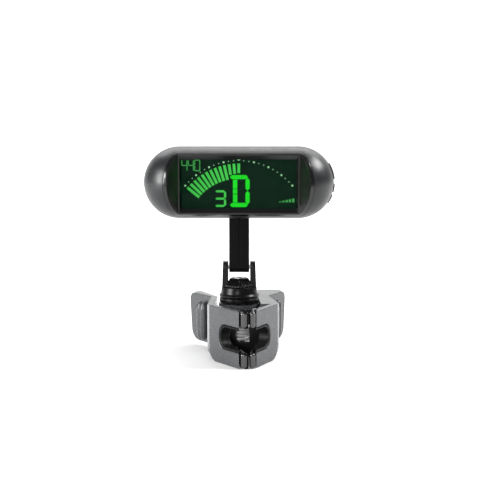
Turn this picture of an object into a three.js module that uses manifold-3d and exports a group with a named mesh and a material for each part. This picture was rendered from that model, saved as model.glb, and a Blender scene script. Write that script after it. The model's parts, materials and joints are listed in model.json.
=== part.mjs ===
// Clip-on tuner for small instruments, in millimetres, +Z up, its display towards -Y.
// From the bottom: a sprung two-lever clip, a swivel fork, a flat stem and a capsule-shaped head.
// The vertical swivel axis is also the axis that the clip's levers turn about.
import * as THREE from 'three';
import { mergeVertices } from 'three/addons/utils/BufferGeometryUtils.js';
import Module from 'manifold-3d';

const wasm = await Module();
wasm.setup();

// ---------------------------------------------------------------- driving dimensions

const GAP = 0.3; // between pieces that rest on each other
const RUNNING = 0.15; // around a shaft that turns
const DEG = Math.PI / 180;

// Clip, in its own frame: the jaws point to -Y. The left jaw reaches a little past the middle.
const CLIP = {
  shift: 0.85, yaw: 4.5 * DEG, // where the clip's middle plane lies under the swivel axis
  height: 19.2, wall: 2.3,
  tip: [3.2, -23.1], elbow: [12.45, -7.9], junction: [10.35, 8.7], handleEnd: [17.78, 20.36],
  leftTip: 2.6, // where the left panel ends, as a distance from the middle
  handleFoot: 2.1, handleFootRadius: 4.6, handleTopRadius: 2.6, handleLean: 1.3,
  elbowCut: [4.1, 4.7],
  windowLow: 5.2, windowHigh: 13.7, windowCorner: 7.7, windowRound: 1.4, windowBulge: 3.35,
  plate: 2.3,
};
// How far the tools that cut a jaw's front panel reach before and behind it.
const WINDOW_REACH = 8;
const PIVOT = new THREE.Vector2(-CLIP.shift, 0).rotateAround(new THREE.Vector2(), -CLIP.yaw);
const PIN = { radius: 1.9, headRadius: 3.1, headBottom: 0.5, headTop: 1.5, top: 18.2, bore: 1.2 };
const LUG = { radius: 5.0, lowBottom: 2.6, lowTop: 4.9, highBottom: 11.6, highTop: 16.3 };
const SPRING = { radius: 3.85, wire: 0.52, bottom: 5.8, turns: 3.25, pitch: 1.16 };
const PAD = {
  rightNose: [0.9, 2.9], leftNose: [-0.6, 2.3], // distances from the middle
  noseFront: -24.357, thickness: 1.2,
  collarGap: 0.2, collar: 0.9, proud: 0.1, // the rim that lines the panel's window
  apron: [-7.0, -5.9], apronFoot: 0.3, apronTop: 16.6, // the cross wall that closes the jaws at the back
  apronEnd: -4.6, // where the right cross wall ends
  slot: [-2.6, 2.2], slotLow: 5.4, slotHigh: 11.6, // where the spring shows through it
};
const PAD_Z = [0.8, CLIP.height - 0.5];

// Swivel: a black hub on the fixed lever, and the fork that turns on it.
const HUB = { radius: 6.87, bottom: 18.6, top: 20.4, recess: 19.6, recessRadius: 5.0 };
const FORK = {
  bottom: 20.7, flangeRadius: 6.95, flangeTop: 21.5, bellLow: 6.4, bellHigh: 6.1, top: 24.1,
  earInner: 3.8, earTop: 5.6, earFoot: 6.05, earHalfDepth: 2.0,
};
const CONE = { bottom: 24.4, top: 27.1, lowRadius: 5.45, highRadius: 3.0, ribs: 28 };
const SCREW = { headRadius: 1.95, headBottom: 26.6, headTop: 27.5, radius: 0.95, end: 13.2 };

// Stem and the two hinges that it carries.
const STEM = { halfWidth: 3.5, radius: 1.95, low: 31.0, high: 52.6, grooveHalf: 0.2, groove: 0.25 };
const HINGE_PIN = 0.75;

// Head, in its own frame: the origin is the middle of the capsule, which lies along X.
const HEAD = {
  radius: 12.25, length: 64.7, wall: 1.1, split: 3.6,
  hinge: [5.5, -8.5], // y, z of the stem's hinge
  tilt: 3 * DEG, // the display looks a little down
  slotFront: -15 * DEG, slotBack: 58 * DEG,
};
const CAP_X = HEAD.length / 2 - HEAD.radius;
const WINDOW = { face: -6.9, half: 20.2, flare: Math.tan(37.5 * DEG), liner: 1.2 };
const KEYS = { low: -1.9, high: 2.3, proud: 0.35, inner: 28.8 };
const BATTERY = { x: -16.6, radius: 10.0, front: 1.0, back: 4.2 };
const DOOR_RADIUS = 10.45;

// ---------------------------------------------------------------- finishes

function finish(color, roughness, metalness = 0) {
  return new THREE.MeshStandardMaterial({ color, roughness, metalness });
}

const FINISH = {
  shell: finish(0x2b2c2e, 0.45),
  gloss: finish(0x060607, 0.1),
  black: finish(0x151515, 0.5),
  lever: finish(0x7d8082, 0.5),
  rubber: finish(0x101010, 0.9),
  steel: finish(0xb8bcc0, 0.3, 1),
  brass: finish(0xc9a24a, 0.35, 1),
  lens: finish(0x0c1a12, 0.05),
  lcd: finish(0x03301c, 0.2),
  diffuser: finish(0xdfe8df, 0.6),
  board: finish(0x14502c, 0.5),
  chip: finish(0x1a1a1c, 0.6),
};

// ---------------------------------------------------------------- shapes

// A closed three.js geometry as a solid that can be joined and cut.
function solid(geometry) {
  const bare = geometry.clone();
  bare.deleteAttribute('normal');
  bare.deleteAttribute('uv');
  const merged = mergeVertices(bare, 1e-4);
  const index = merged.index.array;
  const corners = [];
  for (let i = 0; i < index.length; i += 3) {
    const [a, b, c] = [index[i], index[i + 1], index[i + 2]];
    if (a !== b && b !== c && c !== a) corners.push(a, b, c);
  }
  return new wasm.Manifold(new wasm.Mesh({
    numProp: 3,
    vertProperties: new Float32Array(merged.attributes.position.array),
    triVerts: new Uint32Array(corners),
  }));
}

function join(...solids) {
  return solids.reduce((whole, next) => whole.add(next));
}

function cut(whole, ...tools) {
  return tools.reduce((rest, tool) => rest.subtract(tool), whole);
}

function box([x0, x1], [y0, y1], [z0, z1]) {
  const geometry = new THREE.BoxGeometry(x1 - x0, y1 - y0, z1 - z0);
  return solid(geometry.translate((x0 + x1) / 2, (y0 + y1) / 2, (z0 + z1) / 2));
}

// Round bars along each axis. at holds the other two coordinates, in X, Y, Z order.
function rodX(radius, [x0, x1], [y, z], sides = 24) {
  const geometry = new THREE.CylinderGeometry(radius, radius, x1 - x0, sides).rotateZ(-Math.PI / 2);
  return solid(geometry.translate((x0 + x1) / 2, y, z));
}

function rodY(radius, [y0, y1], [x, z], sides = 24) {
  const geometry = new THREE.CylinderGeometry(radius, radius, y1 - y0, sides);
  return solid(geometry.translate(x, (y0 + y1) / 2, z));
}

function rodZ(radius, [z0, z1], [x, y] = [0, 0], sides = 24) {
  const geometry = new THREE.CylinderGeometry(radius, radius, z1 - z0, sides).rotateX(Math.PI / 2);
  return solid(geometry.translate(x, y, (z0 + z1) / 2));
}

// A profile of [radius, z] points turned about the Z axis; it starts and ends on the axis.
function turned(profile, sides = 36) {
  const points = profile.map(([radius, z]) => new THREE.Vector2(radius, z));
  return solid(new THREE.LatheGeometry(points, sides).rotateX(Math.PI / 2));
}

function asShape(outline) {
  if (outline instanceof THREE.Shape) return outline;
  return new THREE.Shape(outline.map(([a, b]) => new THREE.Vector2(a, b)));
}

// An outline pushed along one axis. X takes it as (y, z), Y as (x, z) and Z as (x, y).
const EXTRUDE_FRAME = {
  X: new THREE.Matrix4().makeBasis(
    new THREE.Vector3(0, 1, 0), new THREE.Vector3(0, 0, 1), new THREE.Vector3(1, 0, 0)),
  Y: new THREE.Matrix4().makeBasis(
    new THREE.Vector3(1, 0, 0), new THREE.Vector3(0, 0, 1), new THREE.Vector3(0, -1, 0)),
  Z: new THREE.Matrix4(),
};

function prism(axis, outline, [low, high], curveSegments = 8) {
  const options = { depth: high - low, bevelEnabled: false, curveSegments };
  const geometry = new THREE.ExtrudeGeometry(asShape(outline), options);
  geometry.translate(0, 0, axis === 'Y' ? -high : low);
  return solid(geometry.applyMatrix4(EXTRUDE_FRAME[axis]));
}

function roundedRectangle([x0, x1], [y0, y1], radius) {
  const shape = new THREE.Shape();
  shape.moveTo(x0 + radius, y0);
  shape.lineTo(x1 - radius, y0);
  shape.absarc(x1 - radius, y0 + radius, radius, -Math.PI / 2, 0);
  shape.lineTo(x1, y1 - radius);
  shape.absarc(x1 - radius, y1 - radius, radius, 0, Math.PI / 2);
  shape.lineTo(x0 + radius, y1);
  shape.absarc(x0 + radius, y1 - radius, radius, Math.PI / 2, Math.PI);
  shape.lineTo(x0, y0 + radius);
  shape.absarc(x0 + radius, y0 + radius, radius, Math.PI, Math.PI * 1.5);
  return shape;
}

// A solid turned into a named mesh.
function piece(name, shape, material) {
  const { vertProperties, triVerts, numProp } = shape.getMesh();
  const positions = new Float32Array((vertProperties.length / numProp) * 3);
  for (let i = 0; i < positions.length / 3; i += 1) {
    for (let k = 0; k < 3; k += 1) positions[i * 3 + k] = vertProperties[i * numProp + k];
  }
  const geometry = new THREE.BufferGeometry();
  geometry.setAttribute('position', new THREE.BufferAttribute(positions, 3));
  geometry.setIndex(new THREE.BufferAttribute(new Uint32Array(triVerts), 1));
  geometry.computeVertexNormals();
  const mesh = new THREE.Mesh(geometry, material);
  mesh.name = name;
  return mesh;
}

// ---------------------------------------------------------------- clip

// Everything of the clip is drawn for the right-hand side; side -1 mirrors it.
function flip(points, side) {
  return points.map(([x, y]) => [side * x, y]);
}

// Moves a point of the outer wall inwards by a distance, square to the line a to b.
function inward(point, a, b, distance) {
  const length = Math.hypot(b[0] - a[0], b[1] - a[1]);
  const normal = [-(b[1] - a[1]) / length, (b[0] - a[0]) / length];
  return [point[0] + normal[0] * distance, point[1] + normal[1] * distance];
}

// Where two walls' inner faces meet, at a corner between the runs a-b and b-c.
function innerCorner(a, b, c, distance) {
  const [p, q] = [inward(a, a, b, distance), inward(b, a, b, distance)];
  const [r, s] = [inward(b, b, c, distance), inward(c, b, c, distance)];
  const u = [q[0] - p[0], q[1] - p[1]];
  const v = [s[0] - r[0], s[1] - r[1]];
  const t = ((r[0] - p[0]) * v[1] - (r[1] - p[1]) * v[0]) / (u[0] * v[1] - u[1] * v[0]);
  return [p[0] + u[0] * t, p[1] + u[1] * t];
}

const RUN = [CLIP.tip, CLIP.elbow, CLIP.junction, CLIP.handleEnd];
const noseSpan = (side) => (side > 0 ? PAD.rightNose : PAD.leftNose);
const panelEnd = (side) => (side > 0 ? CLIP.tip[0] : CLIP.leftTip);

// The band between two depths behind the lever's outer face, from the tip to the handle's end.
function wallBand(outer, inner, tipX) {
  const face = (distance) => [
    innerAtX(distance, tipX), innerCorner(RUN[0], RUN[1], RUN[2], distance),
    innerCorner(RUN[1], RUN[2], RUN[3], distance), inward(RUN[3], RUN[2], RUN[3], distance)];
  return [...face(outer), ...face(inner).reverse()];
}

// The point of the front panel's face, moved in by a distance, that lies at a given x.
function innerAtX(distance, x) {
  const a = inward(RUN[0], RUN[0], RUN[1], distance);
  const b = inward(RUN[1], RUN[0], RUN[1], distance);
  return [x, a[1] + ((x - a[0]) / (b[0] - a[0])) * (b[1] - a[1])];
}

// The frame of the front panel seen face on: u runs from the elbow to the tip, v is up.
function acrossPanel(shape, side) {
  const u = new THREE.Vector3(
    side * (RUN[0][0] - RUN[1][0]), RUN[0][1] - RUN[1][1], 0).normalize();
  const up = new THREE.Vector3(0, 0, 1);
  const out = new THREE.Vector3().crossVectors(u, up);
  const frame = new THREE.Matrix4().makeBasis(u, up, out)
    .setPosition(side * RUN[1][0], RUN[1][1], 0);
  const options = { depth: 2 * WINDOW_REACH, bevelEnabled: false, curveSegments: 6 };
  const geometry = new THREE.ExtrudeGeometry(shape, options);
  return solid(geometry.translate(0, 0, -WINDOW_REACH).applyMatrix4(frame));
}

// The jaw's window: open at the tip, with a bulging end towards the elbow. An inset makes it smaller.
function jawWindow(side, inset = 0) {
  const [low, high] = [CLIP.windowLow + inset, CLIP.windowHigh - inset];
  const stretch = Math.hypot(RUN[0][0] - RUN[1][0], RUN[0][1] - RUN[1][1])
    / (RUN[1][0] - RUN[0][0]);
  const corner = (RUN[1][0] - CLIP.windowCorner) * stretch + inset;
  const shape = new THREE.Shape();
  shape.moveTo(40, low);
  shape.lineTo(40, high);
  shape.lineTo(corner + CLIP.windowRound, high);
  const bulge = corner - CLIP.windowBulge;
  shape.bezierCurveTo(bulge, high, bulge, low, corner + CLIP.windowRound, low);
  return acrossPanel(shape, side);
}

// The lower outer corner of a jaw is rounded away.
function elbowCorner(side) {
  const [along, up] = CLIP.elbowCut;
  const shape = new THREE.Shape();
  shape.moveTo(-20, -1);
  shape.lineTo(along, -1);
  shape.lineTo(along, 0);
  shape.quadraticCurveTo(0.6, 0.6, 0, up);
  shape.lineTo(-3, CLIP.handleFoot);
  shape.lineTo(-20, CLIP.handleFoot);
  return acrossPanel(shape, side);
}

// A handle seen from the side: u runs back from the junction, v is up.
function acrossHandle(shape, side, depth, curveSegments = 5) {
  const u = new THREE.Vector3(
    side * (RUN[3][0] - RUN[2][0]), RUN[3][1] - RUN[2][1], 0).normalize();
  const up = new THREE.Vector3(0, 0, 1);
  const frame = new THREE.Matrix4().makeBasis(u, up, new THREE.Vector3().crossVectors(u, up))
    .setPosition(side * RUN[2][0], RUN[2][1], 0);
  const geometry = new THREE.ExtrudeGeometry(shape, { depth, bevelEnabled: false, curveSegments });
  return solid(geometry.translate(0, 0, -depth / 2).applyMatrix4(frame));
}

const HANDLE_LENGTH = Math.hypot(RUN[3][0] - RUN[2][0], RUN[3][1] - RUN[2][1]);

// What a handle keeps: it ends above the ground, leans in at its foot and has round outer corners.
function handleOutline() {
  const shape = new THREE.Shape();
  const { handleFoot: foot, handleFootRadius: low, handleTopRadius: high, height } = CLIP;
  const footEnd = HANDLE_LENGTH - CLIP.handleLean;
  shape.moveTo(-40, foot);
  shape.lineTo(footEnd - low, foot);
  shape.absarc(footEnd - low, foot + low, low, -Math.PI / 2, 0);
  shape.lineTo(HANDLE_LENGTH, height - high);
  shape.absarc(HANDLE_LENGTH - high, height - high, high, 0, Math.PI / 2);
  shape.lineTo(-40, height);
  return shape;
}

// Upright finger grooves in a handle's outer face.
function fingerGrooves(side) {
  const [count, first, pitch, half, deep] = [5, 3.0, 2.1, 0.45, 0.45];
  const grooves = [];
  for (let i = 0; i < count; i += 1) {
    const u = first + i * pitch;
    const groove = roundedRectangle(
      [u - half, u + half], [CLIP.handleFoot + 1.6, CLIP.height - 2.6], 0.4);
    grooves.push(acrossHandle(groove, side, 2 * deep, 2));
  }
  return join(...grooves);
}

// Wall from the jaw's tip to the handle's end, with the window, grooves and rounded corners.
function leverWall(side) {
  const whole = prism('Z', flip(wallBand(0, CLIP.wall, panelEnd(side)), side), [0, CLIP.height]);
  const front = prism('Z', flip([[0, -30], [30, -30], [30, -3], [0, -3]], side), [-1, 30]);
  const jaw = cut(whole.intersect(front), elbowCorner(side), jawWindow(side));
  const handle = whole.subtract(front).intersect(acrossHandle(handleOutline(), side, 60));
  return join(jaw, handle).subtract(fingerGrooves(side));
}

// Flat web at one height that ties the wall to the pivot.
function lug(side, [low, high], reach) {
  const arm = [[PIVOT.x * side, -reach], [10.9, -reach], [9.4, reach], [PIVOT.x * side, reach]];
  return join(prism('Z', flip(arm, side), [low, high]), rodZ(LUG.radius, [low, high], PIVOT.toArray()));
}

const PIVOT_HOLE = rodZ(PIN.radius + RUNNING, [-1, 30], PIVOT.toArray());

// The lever that carries the hub. Its top plate runs from the jaw to the handle's end.
function rightLever() {
  const underside = CLIP.height - CLIP.plate;
  const inner = wallBand(0.4, CLIP.wall, CLIP.tip[0]);
  const plate = prism('Z', [[6.0, -8.7], [9.9, -8.7], inner[1], inner[2], [16.2, 18.6], [15.8, 22.7],
    [7.6, 23.0], [5.2, 8.6], [PIVOT.x, 6.2], [PIVOT.x, -2.2], [6.0, -2.2]], [underside, CLIP.height]);
  const seatTop = CLIP.height - 0.9;
  const seat = rodZ(HUB.radius + GAP, [underside, seatTop], PIVOT.toArray(), 36);
  const hubRoom = rodZ(HUB.radius + GAP, [seatTop, 30], PIVOT.toArray(), 36);
  const foot = lug(1, [0, CLIP.plate], 5.6);
  const pinHead = rodZ(PIN.headRadius + GAP, [-1, PIN.headTop + 0.1], PIVOT.toArray());
  return cut(join(leverWall(1), plate, seat, foot), hubRoom, PIVOT_HOLE, pinHead);
}

// The lever that moves. Its two lugs lie between the plates of the other one.
function leftLever() {
  const top = [CLIP.height - CLIP.plate, CLIP.height];
  const ledge = [[8.0, 8.55], [9.6, 8.6], [16.0, 18.8], [15.6, 21.0], [13.5, 22.1]];
  const flange = prism('Z', flip(ledge, -1), top);
  const lugs = [[LUG.lowBottom, LUG.lowTop], [LUG.highBottom, LUG.highTop]].map((z) => lug(-1, z, 4.6));
  return cut(join(leverWall(-1), flange, ...lugs), PIVOT_HOLE);
}

// The nose at the tip of a jaw, seen from above: straight sides and a round front.
function noseOutline(front, back, side) {
  const [[inner, outer], { noseFront }] = [noseSpan(side), PAD];
  const radius = (outer - inner) / 2;
  const nose = new THREE.Shape();
  nose.moveTo(outer, innerAtX(back, outer)[1]);
  nose.lineTo(inner, innerAtX(front, outer)[1]);
  nose.lineTo(inner, noseFront + radius);
  nose.absarc(inner + radius, noseFront + radius, radius, Math.PI, Math.PI * 2);
  return nose.getPoints(6).map((point) => [point.x, point.y]);
}

// The part of a wall band that lies behind the front panel.
function panelBand(outer, inner, end, side) {
  const band = wallBand(outer, inner, end);
  return flip([band[0], band[1], band[6], band[7]], side);
}

// Cross wall of the lining, from the elbow towards the pivot. The right one has a slot for the spring.
function padApron(side, elbow) {
  const [front, back] = PAD.apron;
  const reach = side > 0 ? PAD.apronEnd : GAP - PAD.apronEnd;
  const outline = [[reach, front], [8.8, -7.3], elbow, [elbow[0] - 0.2, back], [reach, back]];
  const wall = prism('Z', flip(outline, side), [PAD.apronFoot, PAD.apronTop]);
  const slot = box(PAD.slot, [front - 1, back + 1], [PAD.slotLow, PAD.slotHigh]);
  return side > 0 ? wall.subtract(slot) : wall;
}

// Rubber lining of a jaw: a nose at the tip, a skin behind the panel, a rim in its window and a cross wall.
function jawPad(side) {
  const [front, back] = [CLIP.wall + GAP, CLIP.wall + GAP + PAD.thickness];
  const outer = noseSpan(side)[1];
  const [band, root] = [wallBand(front, back, outer), outer - 1];
  const tongue = [[root, band[0][1] - 0.3], band[0], band[7], [root, band[7][1] - 0.3]];
  const nose = prism('Z', flip(noseOutline(front, back, side), side), [0.1, CLIP.height - 0.1]);
  const rim = prism('Z', panelBand(PAD.proud, back, panelEnd(side), side), PAD_Z)
    .intersect(jawWindow(side, PAD.collarGap));
  const lining = join(
    prism('Z', flip(tongue, side), PAD_Z), prism('Z', panelBand(front, back, outer, side), PAD_Z), rim);
  const underPlate = box([-20, 20], [-9.0, 0], [PAD.apronTop, 30]);
  return join(cut(nose, jawWindow(side)), cut(lining, jawWindow(side, PAD.collar), underPlate),
    padApron(side, band[1]));
}

// ---------------------------------------------------------------- pivot, spring and swivel

// A helix round the pivot pin whose two ends reach back to the handles.
class SpringLine extends THREE.Curve {
  constructor() {
    super();
    this.legs = [
      new THREE.Vector3(8.2, 12.4, SPRING.bottom),
      new THREE.Vector3(-8.6, 12.4, SPRING.bottom + SPRING.turns * SPRING.pitch),
    ];
  }

  getPoint(t, target = new THREE.Vector3()) {
    const legShare = 0.12;
    if (t < legShare) {
      return target.lerpVectors(this.legs[0], this.onCoil(0), t / legShare);
    }
    if (t > 1 - legShare) {
      return target.lerpVectors(this.onCoil(1), this.legs[1], (t - 1 + legShare) / legShare);
    }
    return target.copy(this.onCoil((t - legShare) / (1 - 2 * legShare)));
  }

  onCoil(share) {
    const angle = -0.12 * Math.PI - share * SPRING.turns * 2 * Math.PI;
    return new THREE.Vector3(
      SPRING.radius * Math.cos(angle), SPRING.radius * Math.sin(angle),
      SPRING.bottom + share * SPRING.turns * SPRING.pitch);
  }
}

function torsionSpring() {
  const section = new THREE.Shape().absarc(0, 0, SPRING.wire, 0, Math.PI * 2);
  const options = { steps: 72, extrudePath: new SpringLine(), curveSegments: 3 };
  return solid(new THREE.ExtrudeGeometry(section, options));
}

function pivotPin() {
  const head = rodZ(PIN.headRadius, [PIN.headBottom, PIN.headTop - 0.2]);
  const shank = rodZ(PIN.radius, [PIN.headBottom, PIN.top]);
  return cut(join(head, shank), rodZ(PIN.bore, [SCREW.end - 0.5, 30]));
}

function swivelHub() {
  const disc = turned([[0, HUB.bottom], [HUB.radius - 0.3, HUB.bottom], [HUB.radius, HUB.bottom + 0.3],
    [HUB.radius, HUB.top], [0, HUB.top]]);
  return cut(disc, rodZ(HUB.recessRadius, [HUB.recess, 30]), rodZ(SCREW.radius + RUNNING, [0, 30]));
}

function swivelWasher() {
  const disc = rodZ(HUB.recessRadius - GAP, [HUB.recess + GAP, HUB.top]);
  return cut(disc, rodZ(SCREW.radius + RUNNING, [0, 30]));
}

// Two ears on a round bell. Each ear is a plate with a rounded top and a slanted outer face.
function fork() {
  const bell = turned([[0, FORK.bottom], [FORK.flangeRadius, FORK.bottom],
    [FORK.flangeRadius, FORK.flangeTop], [FORK.bellLow, FORK.flangeTop + 0.4],
    [FORK.bellHigh, FORK.top], [0, FORK.top]]);
  const half = FORK.earHalfDepth;
  const side = new THREE.Shape();
  side.moveTo(-half, FORK.flangeTop);
  side.lineTo(half, FORK.flangeTop);
  side.lineTo(half, STEM.low);
  side.absarc(0, STEM.low, half, 0, Math.PI);
  side.lineTo(-half, FORK.flangeTop);
  const across = [[-FORK.earFoot, FORK.flangeTop], [FORK.earFoot, FORK.flangeTop],
    [FORK.earTop, STEM.low + 3], [-FORK.earTop, STEM.low + 3]];
  const ears = prism('X', side, [-10, 10]).intersect(prism('Y', across, [-10, 10]));
  const slot = box([-FORK.earInner, FORK.earInner], [-10, 10], [FORK.top, 40]);
  const screwHead = rodX(1.6, [FORK.earTop - 0.8, 10], [0, STEM.low]);
  const nut = rodX(1.75, [-10, -FORK.earTop + 0.8], [0, STEM.low], 6);
  return cut(join(bell, ears), slot, rodZ(SCREW.radius + RUNNING, [0, 40]),
    rodX(HINGE_PIN + RUNNING, [-10, 10], [0, STEM.low]), screwHead, nut);
}

// Ribbed cone that fills the fork between its ears.
function ribbedCone() {
  const cone = turned([[0, CONE.bottom], [CONE.lowRadius, CONE.bottom],
    [CONE.lowRadius, CONE.bottom + 0.35], [CONE.highRadius, CONE.top], [0, CONE.top]], CONE.ribs * 2);
  const ears = [-1, 1].map((side) => {
    const [inner, outer] = [FORK.earInner - GAP, 10].map((x) => side * x);
    return box([Math.min(inner, outer), Math.max(inner, outer)],
      [-FORK.earHalfDepth - GAP, FORK.earHalfDepth + GAP], [CONE.bottom - 1, 40]);
  });
  const seat = rodZ(SCREW.headRadius + GAP, [SCREW.headBottom - GAP, 40]);
  return cut(cone, ...ears, seat, rodZ(SCREW.radius + RUNNING, [0, 40]));
}

function swivelScrew() {
  const head = turned([[0, SCREW.headBottom], [SCREW.headRadius, SCREW.headBottom],
    [SCREW.headRadius, SCREW.headTop - 0.4], [SCREW.headRadius * 0.7, SCREW.headTop],
    [0, SCREW.headTop]], 24);
  const shank = rodZ(SCREW.radius, [SCREW.end, SCREW.headBottom]);
  const cross = join(box([-1.1, 1.1], [-0.2, 0.2], [SCREW.headTop - 0.4, 30]),
    box([-0.2, 0.2], [-1.1, 1.1], [SCREW.headTop - 0.4, 30]));
  return cut(join(head, shank), cross);
}

function tiltScrew() {
  const head = rodX(1.35, [FORK.earTop - 0.5, FORK.earTop + 0.1], [0, STEM.low]);
  const driver = box([FORK.earTop - 0.15, 10], [-0.9, 0.9], [STEM.low - 0.2, STEM.low + 0.2]);
  return cut(join(rodX(HINGE_PIN, [-FORK.earTop + 0.1, FORK.earTop - 0.4], [0, STEM.low]), head), driver);
}

function tiltNut() {
  const body = rodX(1.5, [-FORK.earTop - 0.05, -FORK.earTop + 0.5], [0, STEM.low], 6);
  return cut(body, rodX(HINGE_PIN + RUNNING, [-10, 10], [0, STEM.low]));
}

function stem() {
  const half = STEM.radius;
  const side = new THREE.Shape();
  side.absarc(0, STEM.high, half, 0, Math.PI);
  side.absarc(0, STEM.low, half, Math.PI, Math.PI * 2);
  const bar = prism('X', side, [-STEM.halfWidth, STEM.halfWidth]);
  const grooves = [-1, 1].map((face) => {
    const [deep, out] = [face * (half - STEM.groove), face * (half + 1)];
    return box([-STEM.grooveHalf, STEM.grooveHalf], [Math.min(deep, out), Math.max(deep, out)],
      [STEM.low + 2, STEM.high - 2]);
  });
  const holes = [STEM.low, STEM.high].map((z) => rodX(HINGE_PIN + RUNNING, [-10, 10], [0, z]));
  return cut(bar, ...grooves, ...holes);
}

// ---------------------------------------------------------------- head

// A capsule along X, grown or shrunk from the head's outer face.
function capsule(inset, sides = 36, rings = 6) {
  const radius = HEAD.radius - inset;
  const profile = [];
  for (let i = 0; i <= rings; i += 1) {
    const angle = (i / rings) * 90 * DEG;
    profile.push([radius * Math.sin(angle), -CAP_X - radius * Math.cos(angle)]);
  }
  const points = [...profile, ...profile.map(([r, x]) => [r, -x]).reverse()];
  const outline = points.map(([r, x]) => new THREE.Vector2(Math.max(r, 0), x));
  outline[0].x = 0;
  outline[outline.length - 1].x = 0;
  return solid(new THREE.LatheGeometry(outline, sides).rotateZ(-Math.PI / 2));
}

// The display's window: a flat face with walls at both ends that flare outwards.
function windowTool(offset) {
  const face = WINDOW.face + offset;
  const slant = Math.hypot(1, WINDOW.flare) * offset;
  const nearX = WINDOW.half + slant - WINDOW.flare * offset;
  const farX = WINDOW.half + slant + WINDOW.flare * (14 + WINDOW.face);
  return prism('Z', [[-nearX, face], [-farX, -14], [farX, -14], [nearX, face]], [-20, 20]);
}

// A four-sided opening that narrows from one size to another along Y.
function taperedOpening(y0, [x0, z0], y1, [x1, z1]) {
  const geometry = new THREE.BoxGeometry(2, 2, 2);
  const position = geometry.attributes.position;
  for (let i = 0; i < position.count; i += 1) {
    const near = position.getY(i) < 0;
    position.setXYZ(i, position.getX(i) * (near ? x0 : x1), near ? y0 : y1,
      position.getZ(i) * (near ? z0 : z1));
  }
  return solid(geometry);
}

// Every place that the stem can reach, as seen from the head.
function stemSlot() {
  const [y, z] = HEAD.hinge;
  const [reach, half] = [9, STEM.radius + GAP];
  const along = (angle) => [Math.sin(angle), -Math.cos(angle)];
  const shape = new THREE.Shape();
  const [front, back] = [along(HEAD.slotFront), along(HEAD.slotBack)];
  const frontFoot = [y + front[1] * half, z - front[0] * half];
  const backFoot = [y - back[1] * half, z + back[0] * half];
  shape.moveTo(...frontFoot);
  shape.lineTo(frontFoot[0] + front[0] * reach, frontFoot[1] + front[1] * reach);
  shape.lineTo(y + 9, z - 9);
  shape.lineTo(backFoot[0] + back[0] * reach, backFoot[1] + back[1] * reach);
  shape.lineTo(...backFoot);
  const halfWidth = STEM.halfWidth + GAP;
  return join(prism('X', shape, [-halfWidth, halfWidth]),
    rodX(half + 0.05, [-halfWidth, halfWidth], HEAD.hinge));
}

const KEY_PLACES = [
  { name: 'power', z: [1.2, 6.6] },
  { name: 'mode', z: [-3.3, -0.5] },
  { name: 'tune', z: [-7.0, -4.2] },
];

function keyTool(z, grow, [x0, x1]) {
  const outline = roundedRectangle([KEYS.low - grow, KEYS.high + grow], [z[0] - grow, z[1] + grow], 1.2);
  return prism('X', outline, [x0, x1], 4);
}

const SHELL_SCREWS = [
  { name: 'left', x: -29.6, z: 0, floor: 5.2 },
  { name: 'upper', x: 22.4, z: 6.2, floor: 7.2 },
  { name: 'lower', x: 22.4, z: -6.2, floor: 7.2 },
];

function frontShell() {
  const skin = cut(capsule(0), capsule(HEAD.wall), windowTool(WINDOW.liner + 0.25));
  const bosses = SHELL_SCREWS.map(({ x, z }) => rodY(1.8, [-3.5, HEAD.split + 1], [x, z], 16));
  const ribs = SHELL_SCREWS.slice(1).map(({ x, z }) => box([x - 0.5, x + 0.5], [-3.5, 5],
    z > 0 ? [z + 1, 13] : [-13, z - 1]));
  const leftRib = box([-33, -30.6], [-3.5, 5], [-0.6, 0.6]);
  const inside = join(...bosses, ...ribs, leftRib).intersect(capsule(0.3));
  const holes = SHELL_SCREWS.map(({ x, z }) => rodY(0.9, [-3, 10], [x, z], 12));
  const keyHoles = KEY_PLACES.map(({ z }) => keyTool(z, 0.25, [27, 40]));
  const behind = box([-40, 40], [HEAD.split - 0.15, 20], [-20, 20]);
  return cut(join(skin, inside), behind, ...holes, ...keyHoles, stemSlot());
}

function rearShell() {
  const split = box([-40, 40], [-20, HEAD.split + 0.15], [-20, 20]);
  const skin = cut(capsule(0), capsule(HEAD.wall), split);
  const block = join(
    box([-5.8, 5.8], [HEAD.split + 0.15, 11], [-12, -4.6]).intersect(capsule(0.2)),
    box([-5.8, 5.8], [2.6, 11], [-12, -4.6]).intersect(capsule(HEAD.wall + GAP)));
  const sleeves = SHELL_SCREWS.map(({ x, z }) => rodY(2.2, [HEAD.split + 0.15, 12], [x, z], 16));
  const seat = box([9, 20], [8.2, 12], [-0.8, 0.8]);
  const inside = join(...sleeves, seat).intersect(capsule(0.2));
  const holes = SHELL_SCREWS.flatMap(({ x, z, floor }) => [
    rodY(0.95, [0, 14], [x, z], 12), rodY(1.7, [floor, 14], [x, z], 16)]);
  const pinHole = rodX(HINGE_PIN + RUNNING, [-10, 10], HEAD.hinge);
  const door = rodY(DOOR_RADIUS + 0.25, [3, 20], [BATTERY.x, 0], 48);
  return cut(join(skin, block, inside), ...holes, door, stemSlot(), pinHole);
}

function batteryDoor() {
  const skin = cut(capsule(0), capsule(HEAD.wall)).intersect(
    rodY(DOOR_RADIUS, [HEAD.split + 1, 20], [BATTERY.x, 0], 48));
  const grip = prism('Y', roundedRectangle([BATTERY.x - 4, BATTERY.x + 4], [-0.8, 0.8], 0.75), [11.7, 20]);
  return skin.subtract(grip);
}

function displayBezel() {
  const body = capsule(0).intersect(windowTool(WINDOW.liner)).subtract(windowTool(0));
  const opening = taperedOpening(WINDOW.face - 0.05, [19.95, 9.7],
    WINDOW.face + WINDOW.liner + 0.05, [19.3, 8.2]);
  return body.subtract(opening);
}

function key(z) {
  const ball = solid(new THREE.SphereGeometry(HEAD.radius + KEYS.proud, 40, 24).translate(CAP_X, 0, 0));
  return keyTool(z, 0, [KEYS.inner, 40]).intersect(ball);
}

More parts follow.
